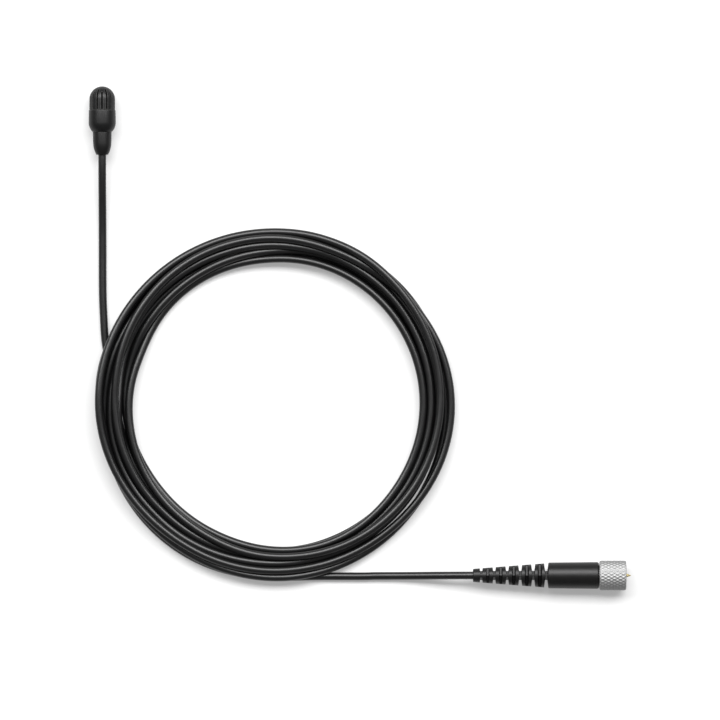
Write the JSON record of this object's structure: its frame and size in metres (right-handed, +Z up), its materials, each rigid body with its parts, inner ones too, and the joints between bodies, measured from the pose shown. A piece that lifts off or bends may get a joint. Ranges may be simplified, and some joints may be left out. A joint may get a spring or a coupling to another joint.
{
  "type": "lavalier microphone",
  "caption": "Miniature lavalier microphone with a slotted push-on cap, thin cable in a round coil, and a small threaded coaxial plug with a notched boot.",
  "frame": {"origin": "on the table under the middle of the microphone head (bottom centre of the head's box, without the cable and plug)", "axes": "+Y along the head towards its slotted front, +Z up from the table, +X from the head towards the coil and along the plug towards its pin"},
  "size_m": [0.1112, 0.1033, 0.0061],
  "materials": {
    "satin_black_metal": "satin black coating with faint turning marks",
    "soft_black_moulding": "soft moulded black, fine matte grain",
    "cable_jacket": "smooth extruded black jacket, satin sheen",
    "bright_nickel": "bright nickel plate, diamond knurl on the nut",
    "plain_steel": "plain drawn steel",
    "fine_steel_mesh": "blackened fine woven mesh",
    "gold_contact": "thin gold plate",
    "bare_copper": "bare copper strands",
    "thin_film": "thin metallised film",
    "white_resin": "smooth white insulating resin",
    "green_board": "green solder mask",
    "black_chip": "moulded chip package",
    "rubber_seal": "soft black silicone"
  },
  "bodies": {
    "microphone": {"head_housing": "satin_black_metal", "strain_relief": "soft_black_moulding", "capsule_gasket": "rubber_seal", "capsule_can": "plain_steel", "diaphragm_frame": "gold_contact", "diaphragm": "thin_film", "spacer_ring": "thin_film", "backplate": "gold_contact", "backplate_holder": "white_resin", "gate_contact_ring": "gold_contact", "amplifier_chip": "black_chip", "circuit_board": "green_board", "cable_end_in_head": "cable_jacket", "cable_crimp": "plain_steel", "signal_wire": "bare_copper", "ground_wire": "plain_steel", "cable_mic_tail": "cable_jacket", "cable_coil": "cable_jacket", "cable_plug_tail": "cable_jacket", "plug_boot": "soft_black_moulding", "cable_end_in_boot": "cable_jacket", "core_insulation": "white_resin", "core_conductor": "bare_copper", "shield_braid": "bare_copper", "crimp_ferrule": "plain_steel", "connector_shell": "bright_nickel", "pin_insulator": "white_resin", "centre_pin": "gold_contact"},
    "cap": {"front_cap": "satin_black_metal", "cap_screen": "fine_steel_mesh"},
    "nut": {"coupling_nut": "bright_nickel"}
  },
  "joints": [
    {"name": "cap_pull", "type": "slide", "parent": "microphone", "child": "cap", "axis": [0, 1, 0], "range_m": [0, 0.008]},
    {"name": "nut_spin", "type": "hinge", "parent": "microphone", "child": "nut", "pos_m": [0.1045, -0.09325, 0.00305], "axis": [1, 0, 0], "continuous": true}
  ]
}
